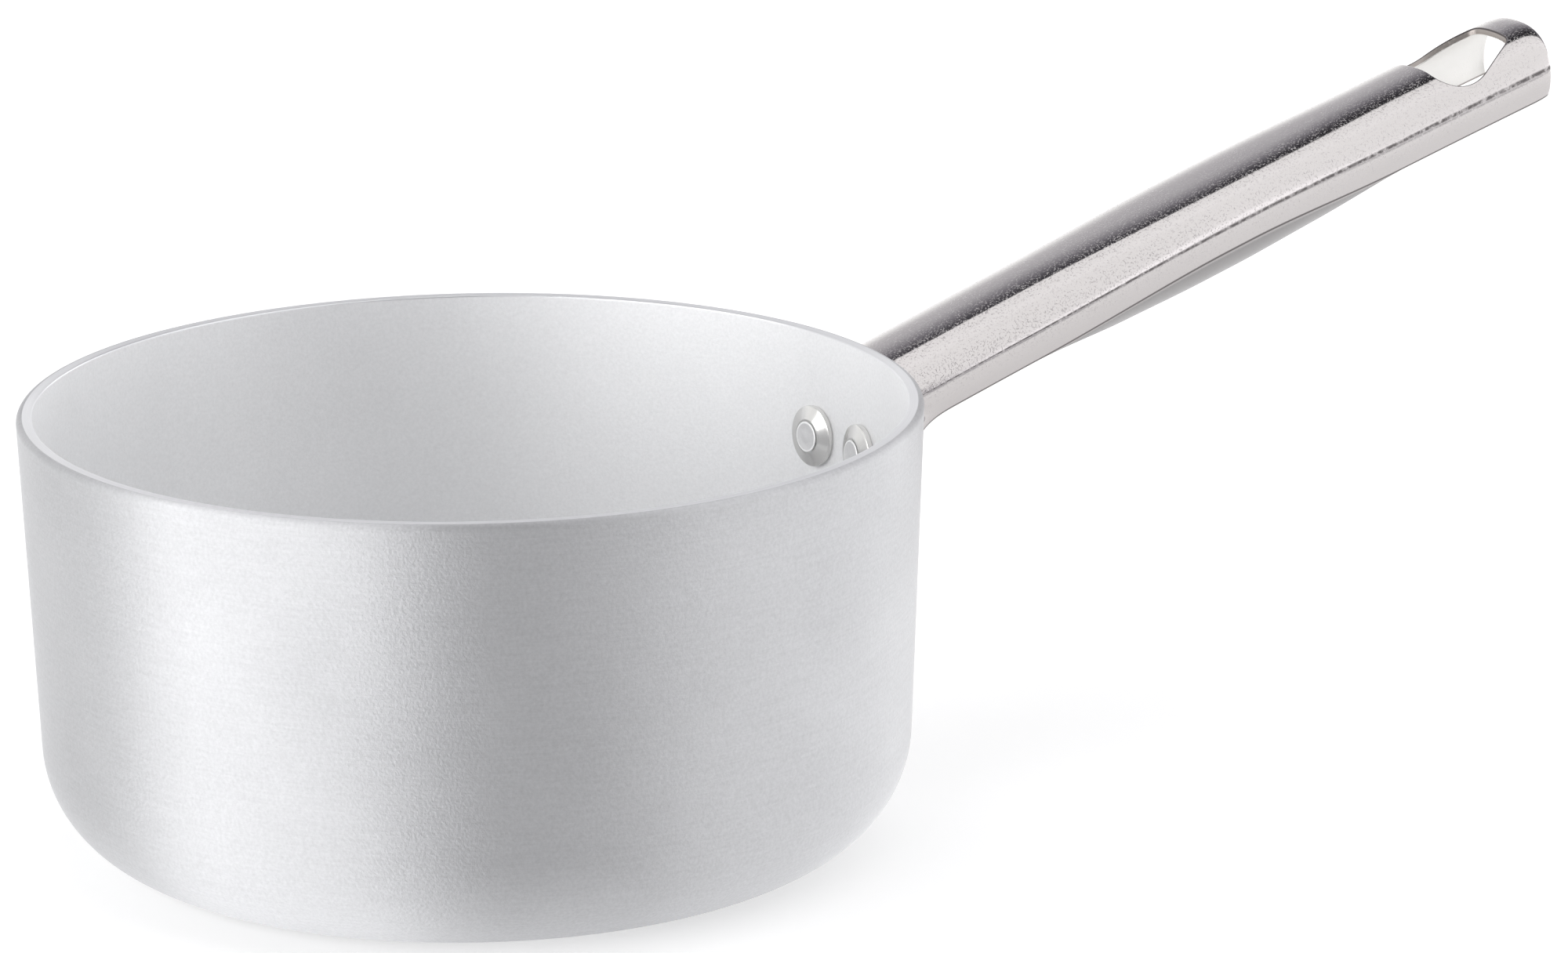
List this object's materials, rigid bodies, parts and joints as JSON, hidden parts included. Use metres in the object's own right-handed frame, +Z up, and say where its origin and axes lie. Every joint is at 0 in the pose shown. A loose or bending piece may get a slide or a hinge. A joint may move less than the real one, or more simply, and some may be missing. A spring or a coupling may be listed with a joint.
{
  "type": "saucepan",
  "caption": "Low, wide, open aluminium saucepan with a round bottom edge and one long arched steel handle, riveted to its wall, with a hanging hole at the handle's end.",
  "frame": {"origin": "centre of the flat underside of the pan", "axes": "+Z up along the pan's axis, out of its mouth; +X along the handle, away from the pan; +Y to the left of someone who looks along the handle from the pan"},
  "size_m": [0.3187, 0.1658, 0.1263],
  "materials": {
    "pan_aluminium": "satin outside with fine turning lines round the wall, matt and fine-grained inside, bare metal",
    "handle_steel": "polished stainless steel",
    "rivet_aluminium": "matt, as headed",
    "washer_steel": "polished stainless steel"
  },
  "bodies": {
    "root": {"pot_body": "pan_aluminium", "handle": "handle_steel", "rivet_upper_left": "rivet_aluminium", "rivet_upper_right": "rivet_aluminium", "rivet_lower": "rivet_aluminium", "washer_upper_left": "washer_steel", "washer_upper_right": "washer_steel", "washer_lower": "washer_steel"}
  },
  "joints": []
}
